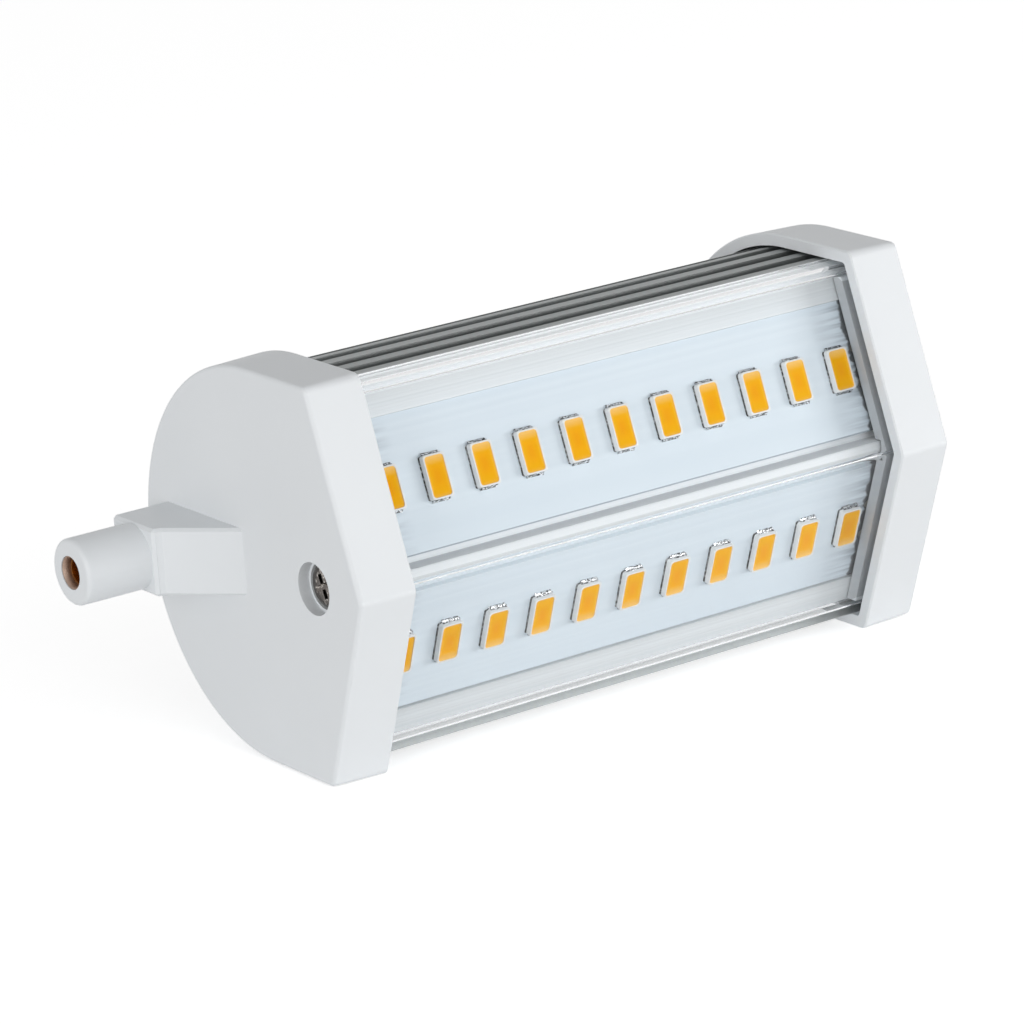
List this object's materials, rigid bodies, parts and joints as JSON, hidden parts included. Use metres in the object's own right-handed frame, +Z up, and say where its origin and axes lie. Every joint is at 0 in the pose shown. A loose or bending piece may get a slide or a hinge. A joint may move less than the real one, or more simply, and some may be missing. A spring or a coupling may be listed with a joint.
{
  "type": "linear led bulb",
  "caption": "Double-ended linear LED lamp with a finned half-round heat sink, a clear V-shaped cover over its lit boards, and a moulded cap with a recessed contact at each end.",
  "frame": {"origin": "midway along the lamp and midway between its back and its front ridge, on the surface that the caps' lower flats rest on", "axes": "+X along the lamp from nose to nose, the lit front faces -Y, +Z up"},
  "size_m": [0.118, 0.0445, 0.0474],
  "materials": {
    "cap_plastic": "fine moulded white, slightly satin",
    "contact_brass": "drawn, slightly tarnished",
    "dark_nickel": "dark nickel plating",
    "bare_aluminium": "bare extruded aluminium with die lines",
    "clear_plastic": "clear extruded plastic",
    "board_mask": "aluminium core under a white mask",
    "led_package": "white moulded package",
    "phosphor": "yellow silicone filling",
    "tin_solder": "soldered tin",
    "sleeve_plastic": "natural white insulator",
    "fibre_board": "green glass-fibre board",
    "blue_lacquer": "dipped lacquer",
    "resistor_body": "lacquered ceramic",
    "film_case": "yellow moulded case",
    "ferrite": "sintered ferrite",
    "winding_tape": "yellow tape over copper wire",
    "chip_moulding": "black moulding",
    "can_sleeve": "dark shrink sleeve on an aluminium can",
    "wire_insulation": "white insulated copper wire"
  },
  "bodies": {
    "root": {"left_end_cap": "cap_plastic", "right_end_cap": "cap_plastic", "left_contact": "contact_brass", "right_contact": "contact_brass", "left_cap_screw": "dark_nickel", "right_cap_screw": "dark_nickel", "heatsink": "bare_aluminium", "clear_cover": "clear_plastic", "upper_led_board": "board_mask", "lower_led_board": "board_mask", "upper_phosphor": "phosphor", "lower_phosphor": "phosphor", "upper_led_terminals": "tin_solder", "lower_led_terminals": "tin_solder", "driver_sleeve": "sleeve_plastic", "driver_board": "fibre_board", "varistor": "blue_lacquer", "fuse_resistor": "resistor_body", "film_capacitor": "film_case", "line_choke": "ferrite", "transformer_core": "ferrite", "transformer_winding": "winding_tape", "bridge_rectifier": "chip_moulding", "controller_chip": "chip_moulding", "input_capacitor": "can_sleeve", "output_capacitor": "can_sleeve", "left_mains_wire": "wire_insulation", "right_mains_wire": "wire_insulation", "upper_board_wires": "wire_insulation", "lower_board_wires": "wire_insulation", "upper_led_01": "led_package", "upper_led_02": "led_package", "upper_led_03": "led_package", "upper_led_04": "led_package", "upper_led_05": "led_package", "upper_led_06": "led_package", "upper_led_07": "led_package", "upper_led_08": "led_package", "upper_led_09": "led_package", "upper_led_10": "led_package", "upper_led_11": "led_package", "lower_led_01": "led_package", "lower_led_02": "led_package", "lower_led_03": "led_package", "lower_led_04": "led_package", "lower_led_05": "led_package", "lower_led_06": "led_package", "lower_led_07": "led_package", "lower_led_08": "led_package", "lower_led_09": "led_package", "lower_led_10": "led_package", "lower_led_11": "led_package"}
  },
  "joints": []
}
